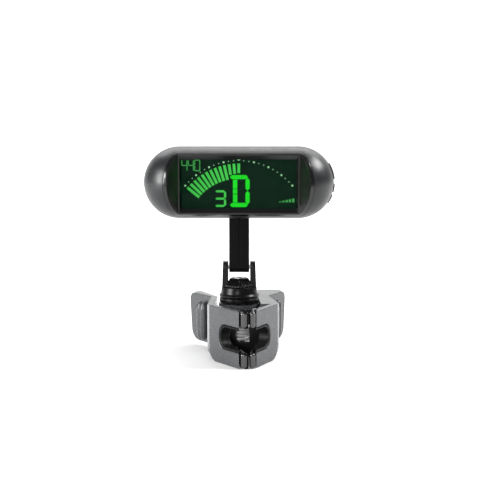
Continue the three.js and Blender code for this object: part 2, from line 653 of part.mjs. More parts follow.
function tactSwitch(z) {
  const middle = (z[0] + z[1]) / 2;
  return join(box([25.7, 27.7], [-1.4, 1.8], [middle - 1.4, middle + 1.4]),
    rodX(0.8, [27.6, 28.3], [0.2, middle], 12));
}

function shellScrew({ x, z, floor }) {
  const [seat, top] = [floor + GAP, floor + GAP + 1.1];
  const body = join(rodY(1.4, [seat, top], [x, z], 16), rodY(0.75, [-2.7, seat], [x, z], 12));
  return cut(body, box([x - 1, x + 1], [top - 0.4, 20], [z - 0.2, z + 0.2]),
    box([x - 0.2, x + 0.2], [top - 0.4, 20], [z - 1, z + 1]));
}

// Everything inside the shells, front to back.
function headInsides() {
  const rear = -0.1;
  const amplifier = box([11, 16], [rear + GAP, 1.4], [-5, -1]);
  return [
    piece('display_lens', box([-20.3, 20.3], [-5.4, -4.6], [-9.2, 9.2]), FINISH.lens),
    piece('lcd_panel', box([-19.9, 19.9], [-4.3, -2.7], [-9.0, 9.0]), FINISH.lcd),
    piece('backlight', box([-19.6, 19.6], [-2.4, -1.3], [-7.5, 8.8]), FINISH.diffuser),
    piece('zebra_strip', box([-18, 18], [-2.4, -1.2], [-8.9, -7.9]), FINISH.rubber),
    piece('circuit_board', box([-24, 20.0], [-0.9, rear], [-9.3, 9.3]), FINISH.board),
    piece('mcu_chip', box([2, 9], [rear + GAP, 1.2], [-1, 6]), FINISH.chip),
    piece('amplifier_chip', amplifier, FINISH.chip),
    piece('crystal', rodX(1.0, [10.5, 16.5], [1.3, 5.0], 16), FINISH.steel),
    piece('piezo_disc', rodY(6.5, [7.4, 7.9], [14.5, 0], 32), FINISH.brass),
    piece('switch_board', box([24.6, 25.4], [-2.4, 2.8], [-7.4, 7.0]), FINISH.board),
    piece('battery_cell', rodY(BATTERY.radius, [BATTERY.front, BATTERY.back], [BATTERY.x, 0], 40),
      FINISH.steel),
    piece('negative_contact', box([-22, -11], [rear + GAP, 0.7], [-1.5, 1.5]), FINISH.brass),
    piece('positive_contact', box([-6.3, -5.8], [rear + GAP, 4.4], [-1.5, 5.5]), FINISH.brass),
    ...KEY_PLACES.map(({ name, z }) => piece(`${name}_switch`, tactSwitch(z), FINISH.chip)),
  ];
}

// ---------------------------------------------------------------- assembly

const clip = new THREE.Group();
clip.position.x = CLIP.shift;
clip.rotation.z = CLIP.yaw;
clip.add(
  piece('right_lever', rightLever(), FINISH.lever),
  piece('left_lever', leftLever(), FINISH.lever),
  piece('right_jaw_pad', jawPad(1), FINISH.rubber),
  piece('left_jaw_pad', jawPad(-1), FINISH.rubber),
);

const swivel = new THREE.Group();
swivel.add(
  piece('pivot_pin', pivotPin(), FINISH.steel),
  piece('torsion_spring', torsionSpring(), FINISH.steel),
  piece('swivel_hub', swivelHub(), FINISH.black),
  piece('swivel_washer', swivelWasher(), FINISH.steel),
  piece('swivel_fork', fork(), FINISH.black),
  piece('ribbed_cone', ribbedCone(), FINISH.black),
  piece('swivel_screw', swivelScrew(), FINISH.steel),
  piece('tilt_screw', tiltScrew(), FINISH.steel),
  piece('tilt_nut', tiltNut(), FINISH.steel),
  piece('stem', stem(), FINISH.black),
);

// The head hangs on the stem's upper hinge and is turned about it.
const head = new THREE.Group();
head.position.z = STEM.high;
head.rotation.x = HEAD.tilt;
const headFrame = new THREE.Group();
headFrame.position.set(0, -HEAD.hinge[0], -HEAD.hinge[1]);
head.add(headFrame);
headFrame.add(
  piece('front_shell', frontShell(), FINISH.shell),
  piece('rear_shell', rearShell(), FINISH.shell),
  piece('battery_door', batteryDoor(), FINISH.shell),
  piece('display_bezel', displayBezel(), FINISH.gloss),
  piece('head_hinge_pin', rodX(HINGE_PIN, [-5.6, 5.6], HEAD.hinge), FINISH.steel),
  ...headInsides(),
  ...KEY_PLACES.map(({ name, z }) => piece(`${name}_key`, key(z), FINISH.rubber)),
  ...SHELL_SCREWS.map((screw) => piece(`shell_screw_${screw.name}`, shellScrew(screw), FINISH.steel)),
);

// The origin is under the middle of the whole tuner's box, on the surface it stands on.
const tuner = new THREE.Group();
tuner.add(clip, swivel, head);
const extent = new THREE.Box3().setFromObject(tuner, true);
const middle = extent.getCenter(new THREE.Vector3());
tuner.position.set(-middle.x, -middle.y, -extent.min.z);

export default tuner;
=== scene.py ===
"""Looks of the clip-on tuner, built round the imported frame. Metres, +Z up, the display towards -Y."""
import json
import math

import bmesh
import bpy
from mathutils import Matrix, Vector


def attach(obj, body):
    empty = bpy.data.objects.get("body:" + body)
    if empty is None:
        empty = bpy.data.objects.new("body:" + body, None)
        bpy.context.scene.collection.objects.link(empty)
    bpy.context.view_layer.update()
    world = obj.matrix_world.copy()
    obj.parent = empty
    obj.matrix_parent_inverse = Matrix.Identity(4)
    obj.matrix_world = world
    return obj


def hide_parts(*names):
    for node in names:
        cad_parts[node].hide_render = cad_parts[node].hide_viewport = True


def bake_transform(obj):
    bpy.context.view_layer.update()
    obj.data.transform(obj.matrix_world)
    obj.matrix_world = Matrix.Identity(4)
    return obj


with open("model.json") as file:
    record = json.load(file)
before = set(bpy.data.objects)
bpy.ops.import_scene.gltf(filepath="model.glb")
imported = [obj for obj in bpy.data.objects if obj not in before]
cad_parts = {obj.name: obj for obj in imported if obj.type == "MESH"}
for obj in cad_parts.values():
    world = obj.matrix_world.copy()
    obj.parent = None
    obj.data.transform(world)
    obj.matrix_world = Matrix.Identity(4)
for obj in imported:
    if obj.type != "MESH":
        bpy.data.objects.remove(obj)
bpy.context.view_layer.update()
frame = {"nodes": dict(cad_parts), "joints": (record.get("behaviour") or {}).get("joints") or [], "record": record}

MM = 0.001
JOINTS = {joint["name"]: joint for joint in frame["joints"]}
AXIS = Vector(JOINTS["swivel"]["pos_m"])
HINGE = Vector(JOINTS["head_tilt"]["pos_m"])
TILT = math.atan2(*reversed(JOINTS["battery_door_release"]["axis"][1:]))

# Each group's own frame, in millimetres, as seen from the shared frame in metres.
CLIP_SHIFT, CLIP_TURN = 0.85, math.radians(4.5)  # the clip stands a little aside and turned
SCALE = Matrix.Scale(MM, 4)
SWIVEL = Matrix.Translation((AXIS.x, AXIS.y, 0)) @ SCALE
CLIP = (Matrix.Translation((AXIS.x + CLIP_SHIFT * MM, AXIS.y, 0))
        @ Matrix.Rotation(CLIP_TURN, 4, "Z") @ SCALE)
HEAD_MIDDLE = Vector((0, -5.5, 8.5))  # the capsule's middle as seen from the stem's upper hinge
HEAD = (Matrix.Translation(HINGE) @ Matrix.Rotation(TILT, 4, "X")
        @ SCALE @ Matrix.Translation(HEAD_MIDDLE))


# ---------------------------------------------------------------- node materials

MOTTLE, GLOSS, GRAIN = 160, 420, 3600  # scales of the noise in a moulded surface
SPREAD = 0.12  # how far its colour and gloss wander, as a share
GRAIN_DEPTH = 0.0001


def material(name):
    made = bpy.data.materials.new(name)
    made.use_nodes = True
    return made, made.node_tree.nodes, made.node_tree.links


def noise(nodes, links, scale, detail=4.0):
    """Noise in object coordinates, so that its grain doesn't depend on UVs."""
    place = nodes.new("ShaderNodeTexCoord")
    texture = nodes.new("ShaderNodeTexNoise")
    texture.inputs["Scale"].default_value = scale
    texture.inputs["Detail"].default_value = detail
    links.new(place.outputs["Object"], texture.inputs["Vector"])
    return texture


def ramp(nodes, links, source, low, high):
    """Two colours or greys mixed by a noise value."""
    mix = nodes.new("ShaderNodeValToRGB")
    mix.color_ramp.elements[0].position = 0.3
    mix.color_ramp.elements[1].position = 0.7
    mix.color_ramp.elements[0].color = (*low, 1)
    mix.color_ramp.elements[1].color = (*high, 1)
    links.new(source, mix.inputs["Fac"])
    return mix.outputs["Color"]


def moulded(name, color, roughness, bump=0.06, metallic=0.0, shine=0.5):
    """Moulded plastic, rubber or metal: a fine grain, slight mottling and uneven gloss."""
    made, nodes, links = material(name)
    shader = nodes["Principled BSDF"]
    shader.inputs["Metallic"].default_value = metallic
    shader.inputs["Specular IOR Level"].default_value = shine
    mottle = noise(nodes, links, MOTTLE)
    low, high = ([c * (1 + side * SPREAD) for c in color] for side in (-1, 1))
    links.new(ramp(nodes, links, mottle.outputs["Fac"], low, high), shader.inputs["Base Color"])
    gloss = noise(nodes, links, GLOSS)
    rough = [[roughness * (1 + side * SPREAD)] * 3 for side in (-1, 1)]
    links.new(ramp(nodes, links, gloss.outputs["Fac"], *rough), shader.inputs["Roughness"])
    fine = noise(nodes, links, GRAIN, 2.0)
    height = nodes.new("ShaderNodeBump")
    height.inputs["Strength"].default_value = bump
    height.inputs["Distance"].default_value = GRAIN_DEPTH
    links.new(fine.outputs["Fac"], height.inputs["Height"])
    links.new(height.outputs["Normal"], shader.inputs["Normal"])
    return made


def glowing(name, color, strength):
    """A lit display segment, a little uneven as liquid crystal is."""
    made, nodes, links = material(name)
    shader = nodes["Principled BSDF"]
    shader.inputs["Base Color"].default_value = (*[c * 0.2 for c in color], 1)
    shader.inputs["Roughness"].default_value = 0.6
    shader.inputs["Specular IOR Level"].default_value = 0.1
    shader.inputs["Emission Strength"].default_value = strength
    uneven = noise(nodes, links, 300, 1.0)
    low = [c * 0.85 for c in color]
    links.new(ramp(nodes, links, uneven.outputs["Fac"], low, color), shader.inputs["Emission Color"])
    return made


def tinted_lens(name):
    """Thin clear plastic with a green tint and faint smears."""
    made, nodes, links = material(name)
    shader = nodes["Principled BSDF"]
    shader.inputs["Base Color"].default_value = (0.0, 0.004, 0.002, 1)
    shader.inputs["Alpha"].default_value = 0.12
    shader.inputs["Specular IOR Level"].default_value = 0.1
    smear = noise(nodes, links, 60, 2.0)
    rough = [[value] * 3 for value in (0.03, 0.06)]
    links.new(ramp(nodes, links, smear.outputs["Fac"], *rough), shader.inputs["Roughness"])
    return made


MATERIALS = {
    "lever_plastic": moulded("lever_plastic", (0.054, 0.0565, 0.06), 0.27, bump=0.12),
    "jaw_rubber": moulded("jaw_rubber", (0.004, 0.004, 0.004), 0.45, bump=0.15, shine=0.2),
    "black_plastic": moulded("black_plastic", (0.0032, 0.0032, 0.0031), 0.28, bump=0.08, shine=0.18),
    "shell_plastic": moulded("shell_plastic", (0.009, 0.0101, 0.0111), 0.36, bump=0.12, shine=0.47),
    "gloss_black": moulded("gloss_black", (0.002, 0.002, 0.002), 0.2, bump=0.0, shine=0.55),
    "clear_lens": tinted_lens("clear_lens"),
    "lcd": glowing("lcd", (0.0004, 0.0135, 0.0052), 1.0),
    "light_guide": moulded("light_guide", (0.75, 0.8, 0.75), 0.6),
    "key_rubber": moulded("key_rubber", (0.012, 0.012, 0.012), 0.5, bump=0.15),
    "board": moulded("board", (0.02, 0.12, 0.05), 0.45),
    "chip_black": moulded("chip_black", (0.012, 0.012, 0.014), 0.5),
    "brass": moulded("brass", (0.7, 0.5, 0.2), 0.3, metallic=1.0),
    "steel": moulded("steel", (0.78, 0.78, 0.77), 0.34, metallic=1.0),
    "stem_plastic": moulded("stem_plastic", (0.002, 0.002, 0.002), 0.35, bump=0.08, shine=0.06),
    # painted sheen: the spring is near white and mostly diffuse, lighter than its steel, standing for its coils'
    # bright reflections
    "spring_painted_sheen": moulded("spring_painted_sheen", (0.95, 0.95, 0.94), 0.3, metallic=0.1, shine=1.0),
    # painted highlight: a lighter copy of the lever plastic for the elbows
    "lever_plastic_edge": moulded("lever_plastic_edge", (0.27, 0.274, 0.278), 0.25, bump=0.05),
    # glossier rubber for the noses; its lighter base colour is a painted highlight
    "jaw_rubber_edge": moulded("jaw_rubber_edge", (0.008, 0.008, 0.008), 0.22, bump=0.1, shine=1.0),
    # painted highlight: a lighter copy of the gloss black for the bezel's rounded edges
    "gloss_black_edge": moulded("gloss_black_edge", (0.06, 0.062, 0.062), 0.2, bump=0.0),
    "lit_bar": glowing("lit_bar", (0.06, 0.62, 0.08), 1.0),
    "lit_note": glowing("lit_note", (0.012, 0.78, 0.02), 1.0),
    "lit_small": glowing("lit_small", (0.06, 0.4, 0.08), 1.0),
    "lit_dot": glowing("lit_dot", (0.35, 0.75, 0.38), 1.0),
}


def paint_cad():
    """Every carried-over CAD node takes its slot's material."""
    for part in frame["record"]["subparts"]:
        node = frame["nodes"][part["node"]]
        node.data.materials.clear()
        node.data.materials.append(MATERIALS[part["material_slot"]])


paint_cad()


# ---------------------------------------------------------------- mesh code, in millimetres

PLACES = {
    "X": lambda a, b, depth: (depth, a, b),
    "Y": lambda a, b, depth: (a, depth, b),
    "Z": lambda a, b, depth: (a, b, depth),
}


def new_shape(verts, faces, name="shape"):
    """A closed mesh whose faces look outwards."""
    mesh = bpy.data.meshes.new(name)
    mesh.from_pydata(verts, [], faces)
    work = bmesh.new()
    work.from_mesh(mesh)
    if work.calc_volume(signed=True) < 0:
        bmesh.ops.reverse_faces(work, faces=work.faces)
    work.to_mesh(mesh)
    work.free()
    shape = bpy.data.objects.new(name, mesh)
    bpy.context.collection.objects.link(shape)
    return shape


def facing_outwards(shape):
    """Turns each face to look outwards, where they were made in mixed directions."""
    work = bmesh.new()
    work.from_mesh(shape.data)
    bmesh.ops.recalc_face_normals(work, faces=work.faces)
    work.to_mesh(shape.data)
    work.free()
    return shape


def applied(shape):
    """Makes the shape's modifiers part of its mesh."""
    shape.update_tag()
    bpy.context.view_layer.update()
    old = shape.data
    shape.data = bpy.data.meshes.new_from_object(
        shape.evaluated_get(bpy.context.evaluated_depsgraph_get()))
    shape.modifiers.clear()
    bpy.data.meshes.remove(old)
    return shape


def combine(operation, whole, tools):
    for tool in tools:
        modifier = whole.modifiers.new("combine", "BOOLEAN")
        modifier.operation = operation
        modifier.solver = "EXACT"
        modifier.object = tool
        applied(whole)
        bpy.data.objects.remove(tool)
    return whole


def join(whole, *tools):
    return combine("UNION", whole, tools)


def cut(whole, *tools):
    return combine("DIFFERENCE", whole, tools)


def common(whole, *tools):
    return combine("INTERSECT", whole, tools)


def moved(shape, matrix):
    shape.data.transform(matrix)
    if matrix.determinant() < 0:
        shape.data.flip_normals()
    return shape


def arc(centre, radius, start, end, steps=10):
    """Points on an arc between two angles in degrees."""
    angles = [math.radians(start + (end - start) * i / steps) for i in range(steps + 1)]
    return [(centre[0] + radius * math.cos(a), centre[1] + radius * math.sin(a)) for a in angles]


def rounded(x, y, radius, steps=6):
    """The outline of a rectangle with round corners."""
    (x0, x1), (y0, y1) = x, y
    corners = [((x1, y0), -90), ((x1, y1), 0), ((x0, y1), 90), ((x0, y0), 180)]
    points = []
    for (a, b), start in corners:
        centre = (a - radius if a == x1 else a + radius, b - radius if b == y1 else b + radius)
        points += arc(centre, radius, start, start + 90, steps)
    return points


def stacked(rings):
    """A closed body through rings of points, all with the same number of points."""
    count, verts = len(rings[0]), [point for ring in rings for point in ring]
    faces = [tuple(range(count))[::-1], tuple(range(len(verts) - count, len(verts)))]
    for first in range(0, len(verts) - count, count):
        for i in range(count):
            after = (i + 1) % count
            faces.append((first + i, first + after, first + count + after, first + count + i))
    return new_shape(verts, faces)


def prism(axis, outline, span):
    """An outline pushed along one axis; the outline holds the other two coordinates in X, Y, Z order."""
    return stacked([[PLACES[axis](a, b, depth) for a, b in outline] for depth in span])


def box(x, y, z):
    return prism("Z", [(x[0], y[0]), (x[1], y[0]), (x[1], y[1]), (x[0], y[1])], z)


def rod(axis, radius, span, centre=(0, 0), sides=64):
    step = 360 / sides
    return prism(axis, arc(centre, radius, 0, 360 - step, sides - 1), span)


def turned(profile, sides=96, axis="Z", centre=(0, 0), ripple=0.0, lobes=0):
    """A profile of (radius, height) turned about an axis, with lobes if it has a ripple."""
    place = PLACES[axis]
    verts, rings = [], []
    for radius, height in profile:
        if radius == 0:
            rings.append([len(verts)])
            verts.append(place(*centre, height))
            continue
        rings.append(list(range(len(verts), len(verts) + sides)))
        for k in range(sides):
            angle = 2 * math.pi * k / sides
            reach = radius + ripple * (0.5 + 0.5 * math.cos(angle * lobes)) if lobes else radius
            verts.append(place(centre[0] + reach * math.cos(angle),
                               centre[1] + reach * math.sin(angle), height))
    faces = [tuple(ring) for ring in (rings[0], rings[-1]) if len(ring) > 1]
    for low, high in zip(rings, rings[1:]):
        for k in range(sides):
            quad = [low[k % len(low)], low[(k + 1) % len(low)],
                    high[(k + 1) % len(high)], high[k % len(high)]]
            faces.append(tuple(dict.fromkeys(quad)))
    return facing_outwards(new_shape(verts, faces))


def rounded_edges(shape, width, segments=3, clamp=True, edge=-1):
    """Rounds the sharp edges; the new faces take slot edge, or their neighbours' if it is -1."""
    rounding = shape.modifiers.new("rounding", "BEVEL")
    rounding.width = width
    rounding.segments = segments
    rounding.limit_method = "ANGLE"
    rounding.angle_limit = math.radians(28)
    rounding.use_clamp_overlap = clamp
    rounding.miter_outer = "MITER_ARC"
    rounding.material = edge
    return applied(shape)


def finish(shape, slot, index=0):
    """A shape's material, and after it its lighter copy for painted highlights on chosen or rounded faces, if
    there is one.
    """
    for key in (slot, f"{slot}_edge"):
        if key in MATERIALS:
            shape.data.materials.append(MATERIALS[key])
    for face in shape.data.polygons:
        face.material_index = index
    return shape


def piece(name, shape, place, slot, body=None, nodes=(), bevel=0.0, smooth=32, looks=None):
    """Rounds a shape's edges, puts it in the shared frame and lets it stand for its CAD nodes."""
    if not shape.data.materials:
        finish(shape, looks or slot)
    if bevel:
        # a material's lighter copy, where it has one, goes on the rounded edges as a painted highlight
        rounded_edges(shape, bevel, edge=len(shape.data.materials) - 1)
    moved(shape, place)
    shape.data.validate()
    shape.data.shade_smooth()
    shape.data.set_sharp_from_angle(angle=math.radians(smooth))
    weighted = shape.modifiers.new("weighted", "WEIGHTED_NORMAL")
    weighted.keep_sharp = True
    shape.name = name
    shape.data.name = name
    if body:
        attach(shape, body)
    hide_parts(*nodes)
    return shape


# ---------------------------------------------------------------- head

HEAD_HALF, HEAD_RADIUS, HEAD_WALL, SPLIT = 32.35, 12.25, 1.1, 3.6
CAP_X = HEAD_HALF - HEAD_RADIUS
HINGE_YZ = (-HEAD_MIDDLE.y, -HEAD_MIDDLE.z)  # the stem's hinge, seen from the head
WINDOW_FACE, WINDOW_HALF, WINDOW_FLARE, LINER = -6.9, 20.2, math.tan(math.radians(37.5)), 1.2
STEM_HALF, STEM_RADIUS, STEM_LOW, STEM_HIGH, PIN = 3.5, 1.95, 31.0, 52.6, 0.75
PIN_HOLE = PIN + 0.15
KEY_Y, KEY_CORNER, KEY_BALL = (-1.9, 2.3), 1.2, 12.6
KEYS = {"power": (1.2, 6.6), "mode": (-3.3, -0.5), "tune": (-7.0, -4.2)}
SHELL_SCREWS = {"left": (-29.6, 0, 5.2), "upper": (22.4, 6.2, 7.2), "lower": (22.4, -6.2, 7.2)}
DOOR_X, DOOR_RADIUS = -16.6, 10.45


def capsule(inset=0.0, sides=128, rings=24):
    radius = HEAD_RADIUS - inset
    half = [(radius * math.sin(a), CAP_X + radius * math.cos(a))
            for a in (i / rings * math.pi / 2 for i in range(rings + 1))]
    half[0] = (0, CAP_X + radius)
    return turned([(r, -x) for r, x in half] + half[::-1], sides, "X")


def hollow():
    """The space inside the head's walls."""
    return capsule(HEAD_WALL, 64, 10)


def window_tool(offset):
    """The display's window: a flat face with end walls that flare outwards."""
    face = WINDOW_FACE + offset
    slant = math.hypot(1, WINDOW_FLARE) * offset
    near = WINDOW_HALF + slant - WINDOW_FLARE * offset
    far = WINDOW_HALF + slant + WINDOW_FLARE * (14 + WINDOW_FACE)
    return prism("Z", [(-near, face), (-far, -14), (far, -14), (near, face)], (-20, 20))


def stem_slot():
    """Every place that the stem can reach, seen from the head."""
    (y, z), reach, half = HINGE_YZ, 9, STEM_RADIUS + 0.3
    front, back = ((math.sin(a), -math.cos(a)) for a in (math.radians(-15), math.radians(58)))
    front_foot = (y + front[1] * half, z - front[0] * half)
    back_foot = (y - back[1] * half, z + back[0] * half)
    outline = [front_foot, (front_foot[0] + front[0] * reach, front_foot[1] + front[1] * reach),
               (y + reach, z - reach),
               (back_foot[0] + back[0] * reach, back_foot[1] + back[1] * reach), back_foot]
    width = (-STEM_HALF - 0.3, STEM_HALF + 0.3)
    return join(prism("X", outline, width), rod("X", half + 0.05, width, HINGE_YZ, 96))


def key_tool(z, grow, x):
    y, z = ((low - grow, high + grow) for low, high in (KEY_Y, z))
    return prism("X", rounded(y, z, KEY_CORNER), x)


def front_shell():
    skin = cut(capsule(), hollow(), window_tool(LINER + 0.12),
               box((-40, 40), (SPLIT - 0.08, 20), (-20, 20)))
    return cut(skin, *[key_tool(z, 0.18, (27, 40)) for z in KEYS.values()], stem_slot())


def rear_shell():
    skin = cut(capsule(), hollow(), box((-40, 40), (-20, SPLIT + 0.08), (-20, 20)))
    block = common(box((-5.8, 5.8), (SPLIT + 0.08, 11), (-12, -4.6)), capsule(0.25, 64, 10))
    holes = []
    for x, z, floor in SHELL_SCREWS.values():
        skin = join(skin, common(rod("Y", 2.2, (SPLIT + 0.3, 12), (x, z)), capsule(0.3, 64, 10)))
        holes += [rod("Y", 0.95, (0, 14), (x, z)), rod("Y", 1.7, (floor, 14), (x, z))]
    door = rod("Y", DOOR_RADIUS + 0.14, (3, 20), (DOOR_X, 0), 128)
    return cut(join(skin, block), *holes, door, stem_slot(), rod("X", PIN_HOLE, (-10, 10), HINGE_YZ))


def battery_door():
    skin = common(cut(capsule(), hollow()),
                  rod("Y", DOOR_RADIUS, (SPLIT + 1, 20), (DOOR_X, 0), 128))
    slot = prism("Y", rounded((DOOR_X - 4, DOOR_X + 4), (-0.8, 0.8), 0.75), (11.7, 20))
    return cut(skin, slot)


def display_bezel():
    """Gloss black frame of the display. Its opening narrows towards the lens."""
    body = cut(common(capsule(), window_tool(LINER)), window_tool(0))
    near, far = WINDOW_FACE - 0.05, WINDOW_FACE + LINER + 0.05
    verts = [(sx * x, y, sz * z) for y, x, z in ((near, 19.95, 9.7), (far, 19.3, 8.2))
             for sx, sz in ((-1, -1), (1, -1), (1, 1), (-1, 1))]
    faces = [(0, 1, 2, 3), (4, 5, 6, 7), (0, 1, 5, 4), (1, 2, 6, 5), (2, 3, 7, 6), (3, 0, 4, 7)]
    return cut(body, facing_outwards(new_shape(verts, faces)))


def key(z):
    """A rubber key that follows the end of the head and stands a little proud of it."""
    angles = [math.radians(a) for a in range(6, 180, 6)]
    ball = [(KEY_BALL * math.sin(a), CAP_X - KEY_BALL * math.cos(a)) for a in angles]
    ball = turned([(0, CAP_X - KEY_BALL), *ball, (0, CAP_X + KEY_BALL)], 96, "X")
    return common(key_tool(z, 0, (28.8, 40)), ball)


def shell_screw(x, z, floor):
    seat, top = floor + 0.3, floor + 1.4
    body = join(rod("Y", 1.4, (seat, top), (x, z), 48), rod("Y", 0.75, (-2.7, seat + 0.1), (x, z), 32))
    return cut(body, box((x - 1, x + 1), (top - 0.4, 20), (z - 0.2, z + 0.2)),
               box((x - 0.2, x + 0.2), (top - 0.4, 20), (z - 1, z + 1)))


def build_head():
    piece("front_shell_skin", front_shell(), HEAD, "shell_plastic", "head", ["front_shell"], 0.14)
    piece("rear_shell_skin", rear_shell(), HEAD, "shell_plastic", "head", ["rear_shell"], 0.14)
    piece("battery_door_skin", battery_door(), HEAD, "shell_plastic", "battery_door",
          ["battery_door"], 0.14)
    # the bezel's rounded edges take the lighter gloss black, a painted highlight
    piece("display_bezel_frame", display_bezel(), HEAD, "gloss_black", "head", ["display_bezel"], 0.1)
    for name, z in KEYS.items():
        piece(f"{name}_key_cap", key(z), HEAD, "key_rubber", f"{name}_key", [f"{name}_key"], 0.3)
    for name, (x, z, floor) in SHELL_SCREWS.items():
        piece(f"shell_screw_{name}_head", shell_screw(x, z, floor), HEAD, "steel", "head",
              [f"shell_screw_{name}"], 0.08)


# ---------------------------------------------------------------- what the display shows

LCD_Y = (-4.42, -4.36)  # just in front of the LCD panel
DIAL_Z = -15.7  # the middle of the tuning dial's arc
DIAL_START, DIAL_STEP, DIAL_MARKS = -50.2, 4.18, 25  # degrees, and the number of marks
BAR_FOOT, SHORT_FOOT, BAR_TOP, DOT_RADIUS = 17.4, 18.9, 22.5, 23.5


def merged(shapes):
    """Flat display segments as one mesh."""
    work = bmesh.new()
    for shape in shapes:
        work.from_mesh(shape.data)
    whole, *rest = shapes
    work.to_mesh(whole.data)
    work.free()
    for shape in rest:
        bpy.data.objects.remove(shape)
    return whole


def flat(outline):
    return prism("Y", outline, LCD_Y)


def bar(start, end, width, point=0.5):
    """A straight segment whose ends come to a blunt point."""
    a, b = Vector(start), Vector(end)
    along = (b - a).normalized()
    side = Vector((-along.y, along.x)) * width / 2
    tip = along * width * point
    corners = (a, a + tip + side, b - tip + side, b, b - tip - side, a + tip - side)
    return flat([tuple(corner) for corner in corners])


def on_dial(radius, degrees):
    angle = math.radians(degrees)
    return (radius * math.sin(angle), DIAL_Z + radius * math.cos(angle))


def dial_bars():
    """Bars from the dial's left end to its middle; the last three stop short of the note below them."""
    bars = []
    for i in range(DIAL_MARKS // 2 + 1):
        angle = DIAL_START + DIAL_STEP * i
        foot = BAR_FOOT if i < 10 else SHORT_FOOT + 0.2 * (i - 10)
        bars.append(bar(on_dial(foot, angle), on_dial(BAR_TOP, angle), 0.92, 0.0))
    return bars


def dial_dots():
    """Dots along the whole dial, every third one larger, with a pointer in place of the middle one."""
    dots = []
    for i in range(DIAL_MARKS):
        radius = 0.33 if i % 3 == 0 else 0.17
        if i != DIAL_MARKS // 2:
            centre = on_dial(DOT_RADIUS, DIAL_START + DIAL_STEP * i)
            dots.append(flat(arc(centre, radius, 0, 337.5, 15)))
    top = DIAL_Z + 23.9
    pointer = [(-0.95, top + 0.3), (0.95, top + 0.3), (0.25, top - 0.35), (-0.25, top - 0.35)]
    return dots + [flat(pointer)]


def note_name():
    """The large note name: a D in blunt segments."""
    strokes = [((-3.0, 2.25), (3.1, 2.25)), ((-3.0, -7.2), (3.1, -7.2)),
               ((2.95, 1.95), (2.95, -2.3)), ((2.95, -2.45), (2.95, -6.95))]
    left = -1.25
    upright = [((left, high), (left, low)) for high, low in ((1.4, -1.65), (-1.85, -3.4), (-3.6, -6.35))]
    return [bar(a, b, 1.4) for a, b in strokes] + [bar(a, b, 1.45, 0.0) for a, b in upright]


def octave_number():
    """The 3 beside the note name."""
    low, middle, high, right = -7.5, -5.05, -2.55, -4.65
    across = [((-7.9, z), (-4.75, z)) for z in (low, middle, high)]
    return [bar(a, b, 0.72) for a, b in across + [((right, high), (right, middle + 0.1)),
                                                  ((right, middle - 0.1), (right, low))]]


def pitch_number():
    """440, the reference pitch, in thin seven-segment digits."""
    high, middle, low, width = 7.95, 6.2, 4.4, 1.7
    four = [((0, high), (0, middle)), ((0, middle), (width, middle)),
            ((width, high), (width, middle)), ((width, middle), (width, low))]
    nought = [((0, high), (0, middle)), ((0, middle), (0, low)), ((0, low), (width, low)),
              ((width, low), (width, middle)), ((width, middle), (width, high)),
              ((width, high), (0, high))]
    marks = []
    for x, digit in ((-19.1, four), (-16.95, four), (-14.8, nought)):
        marks += [bar((x + a[0], a[1]), (x + b[0], b[1]), 0.3) for a, b in digit]
    return marks


def level_marks():
    """A plain row of rising marks in the lower right corner."""
    foot, lowest, step, width = -6.3, -6.0, 0.25, 0.75
    return [flat([(x, foot), (x + width, foot), (x + width, lowest + step * i), (x, lowest + step * i)])
            for i, x in enumerate((13.6, 14.7, 15.8, 16.9, 18.0))]


def build_display():
    piece("lcd_dial_bars", merged(dial_bars()), HEAD, "lit_bar", "head")
    piece("lcd_note", merged(note_name()), HEAD, "lit_note", "head")
    piece("lcd_octave", merged(octave_number()), HEAD, "lit_bar", "head")
    piece("lcd_small_marks", merged(pitch_number() + level_marks()), HEAD, "lit_small", "head")
    piece("lcd_dots", merged(dial_dots()), HEAD, "lit_dot", "head")


# ---------------------------------------------------------------- swivel and stem

FORK_TOP, FLANGE_TOP, EAR_INNER, EAR_DEPTH = 24.1, 21.5, 3.8, 2.0
SCREW_RADIUS = 0.95
SCREW_HOLE = SCREW_RADIUS + 0.15


def swivel_fork():
    """Two ears on a round bell whose foot spreads into a flange."""
    bell = turned([(6.75, 20.7), (6.95, 20.85), (6.95, 21.3), (6.8, 21.5), (6.45, 21.85), (6.3, 22.6),
                   (6.15, 23.6), (6.0, 24.0), (5.8, 24.1)], 128)
    ear = [(-EAR_DEPTH, FLANGE_TOP), (EAR_DEPTH, FLANGE_TOP), *arc((0, STEM_LOW), EAR_DEPTH, 0, 180, 24)]
    across = [(-6.05, FLANGE_TOP), (6.05, FLANGE_TOP), (5.6, 34.0), (-5.6, 34.0)]
    ears = common(prism("X", ear, (-10, 10)), prism("Y", across, (-10, 10)))
    return cut(join(bell, ears), box((-EAR_INNER, EAR_INNER), (-10, 10), (FORK_TOP, 40)),
               rod("Z", SCREW_HOLE, (0, 40)), rod("X", PIN_HOLE, (-10, 10), (0, STEM_LOW)),
               rod("X", 1.6, (4.8, 10), (0, STEM_LOW)), rod("X", 1.75, (-10, -4.8), (0, STEM_LOW), 6))


def ribbed_cone():
    """A knurled cone between the ears, with a seat for the screw."""
    steps = 8
    slope = [(5.3 + (2.85 - 5.3) * i / steps, 24.85 + 2.1 * i / steps) for i in range(steps + 1)]
    cone = turned([(5.3, 24.4), *slope, (2.6, 27.1)], 32 * 8, ripple=0.2, lobes=32)
    for side in (-1, 1):
        x = sorted((side * (EAR_INNER - 0.3), side * 10))
        cone = cut(cone, box(x, (-EAR_DEPTH - 0.3, EAR_DEPTH + 0.3), (23, 40)))
    return cut(cone, rod("Z", 2.25, (26.3, 40), sides=96), rod("Z", SCREW_HOLE, (0, 40)))


def swivel_screw():
    head = turned([(0, 26.6), (1.95, 26.6), (1.95, 27.1), (1.8, 27.3), (1.4, 27.5), (0, 27.5)], 64)
    head = join(head, rod("Z", SCREW_RADIUS, (13.2, 26.7)))
    long, narrow, deep = (-1.1, 1.1), (-0.2, 0.2), (27.1, 30)
    return cut(head, box(long, narrow, deep), box(narrow, long, deep))


